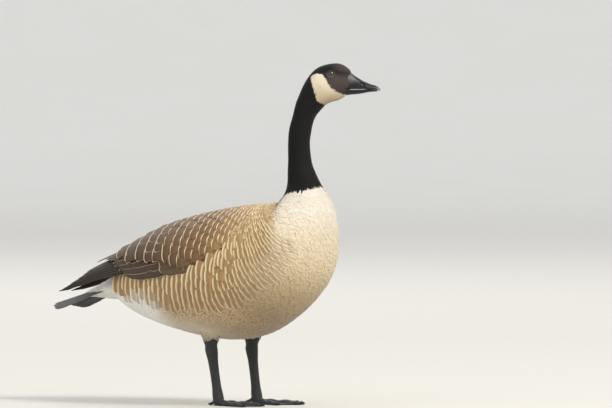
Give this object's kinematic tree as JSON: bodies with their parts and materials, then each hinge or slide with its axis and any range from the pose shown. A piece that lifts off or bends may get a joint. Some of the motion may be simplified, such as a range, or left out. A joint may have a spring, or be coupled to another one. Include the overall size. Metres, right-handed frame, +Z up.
{
  "type": "goose",
  "caption": "Life-size still model of a Canada goose, standing alert on webbed feet with its wings folded and its head turned aside.",
  "frame": {"origin": "bottom centre of the bounding box, on the floor that the feet stand on", "axes": "+X is the way the body faces, +Y is the bird's left, +Z is up"},
  "size_m": [0.5776, 0.2334, 0.564],
  "materials": {
    "black_plumage": "velvety black feathers, with a cream patch on the cheek",
    "body_plumage": "soft overlapping feathers, near white on the breast, tan with pale rims on the flanks, white behind the legs",
    "wing_plumage": "firm brown vanes with pale buff rims, darker towards the tips",
    "tail_plumage": "stiff blackish vanes under white coverts",
    "bill": "smooth black horn with a low sheen",
    "leg_skin": "dark grey scaled skin",
    "claw": "black horn",
    "eye": "wet, very dark brown"
  },
  "bodies": {
    "root": {"head": "black_plumage", "neck_upper": "black_plumage", "neck_lower": "black_plumage", "torso": "body_plumage", "thigh_left": "body_plumage", "thigh_right": "body_plumage", "wing_left": "wing_plumage", "wing_right": "wing_plumage", "tail": "tail_plumage", "bill_upper": "bill", "bill_lower": "bill", "eye_left": "eye", "eye_right": "eye", "shank_left": "leg_skin", "shank_right": "leg_skin", "foot_left": "leg_skin", "foot_right": "leg_skin", "claw_left_inner": "claw", "claw_left_middle": "claw", "claw_left_outer": "claw", "claw_left_hind": "claw", "claw_right_inner": "claw", "claw_right_middle": "claw", "claw_right_outer": "claw", "claw_right_hind": "claw"}
  },
  "joints": []
}
